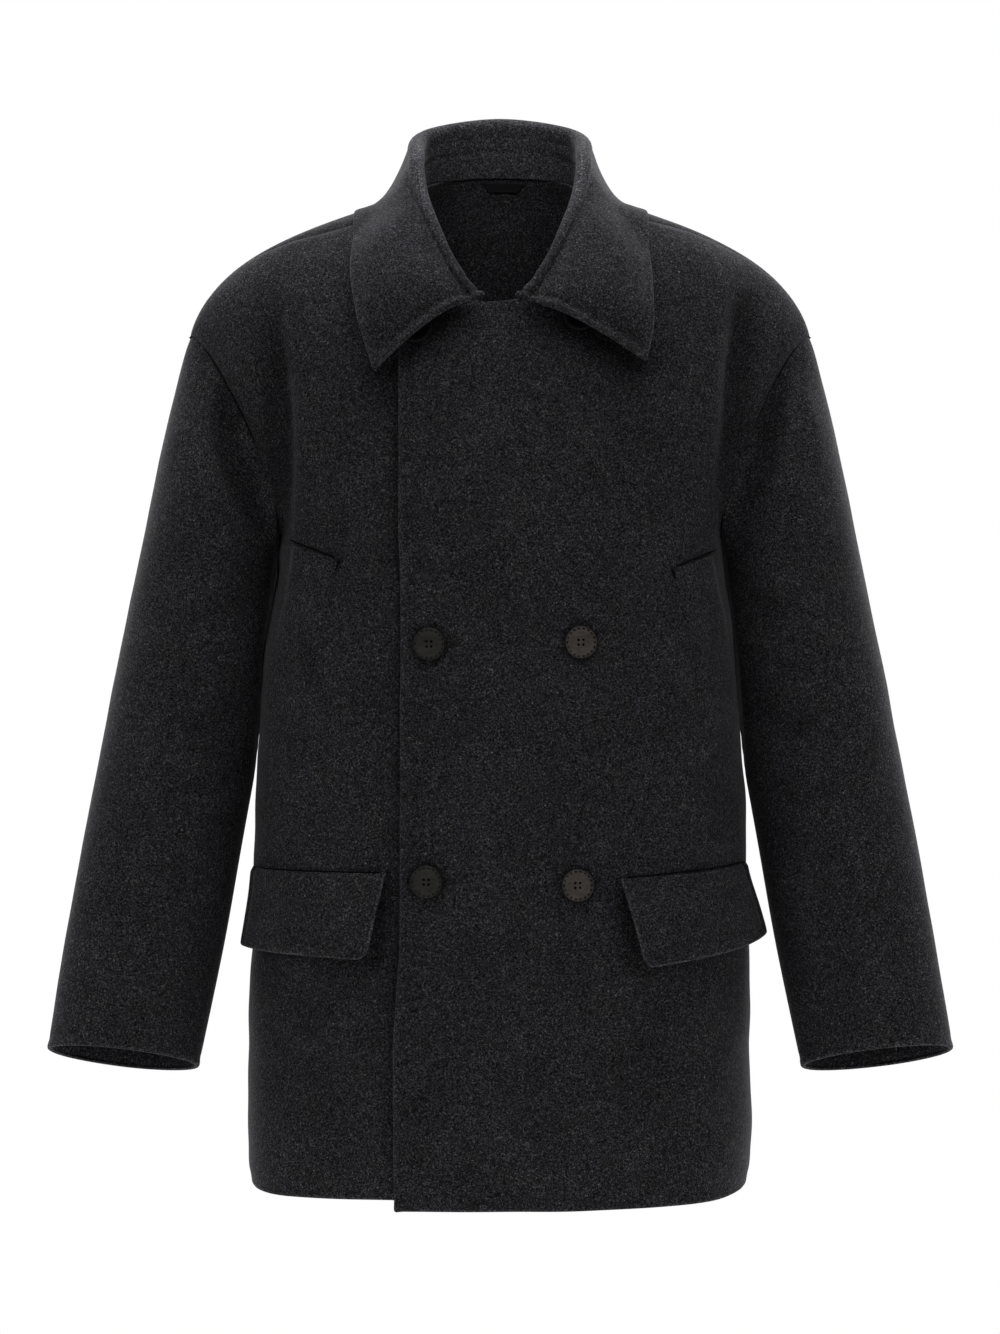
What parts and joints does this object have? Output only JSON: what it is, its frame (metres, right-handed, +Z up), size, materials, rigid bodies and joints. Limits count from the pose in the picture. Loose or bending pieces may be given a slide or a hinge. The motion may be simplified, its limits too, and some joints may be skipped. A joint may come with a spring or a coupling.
{
  "type": "blouson",
  "caption": "Double-breasted wool jacket shown as worn, hollow, with crossed fronts, a turned-down collar, set-in sleeves, slanted welt pockets, flap pockets and round four-hole buttons.",
  "frame": {"origin": "middle of the base of the neck, where the worn jacket is held up", "axes": "+Z up, front of the jacket towards -Y, the wearer's left side towards +X"},
  "size_m": [0.768, 0.2882, 0.9326],
  "materials": {
    "melton": "felted charcoal wool, matt",
    "tab": "matt woven",
    "horn": "satin"
  },
  "bodies": {
    "root": {"back": "melton", "front_left": "melton", "front_right": "melton", "sleeve_left": "melton", "sleeve_right": "melton", "collar_stand": "melton", "collar_fall": "melton", "flap_left": "melton", "flap_right": "melton", "welt_left": "melton", "welt_right": "melton", "neck_tab": "tab", "button_left_top": "horn", "button_left_middle": "horn", "button_left_low": "horn", "button_right_top": "horn", "button_right_middle": "horn", "button_right_low": "horn"}
  },
  "joints": []
}
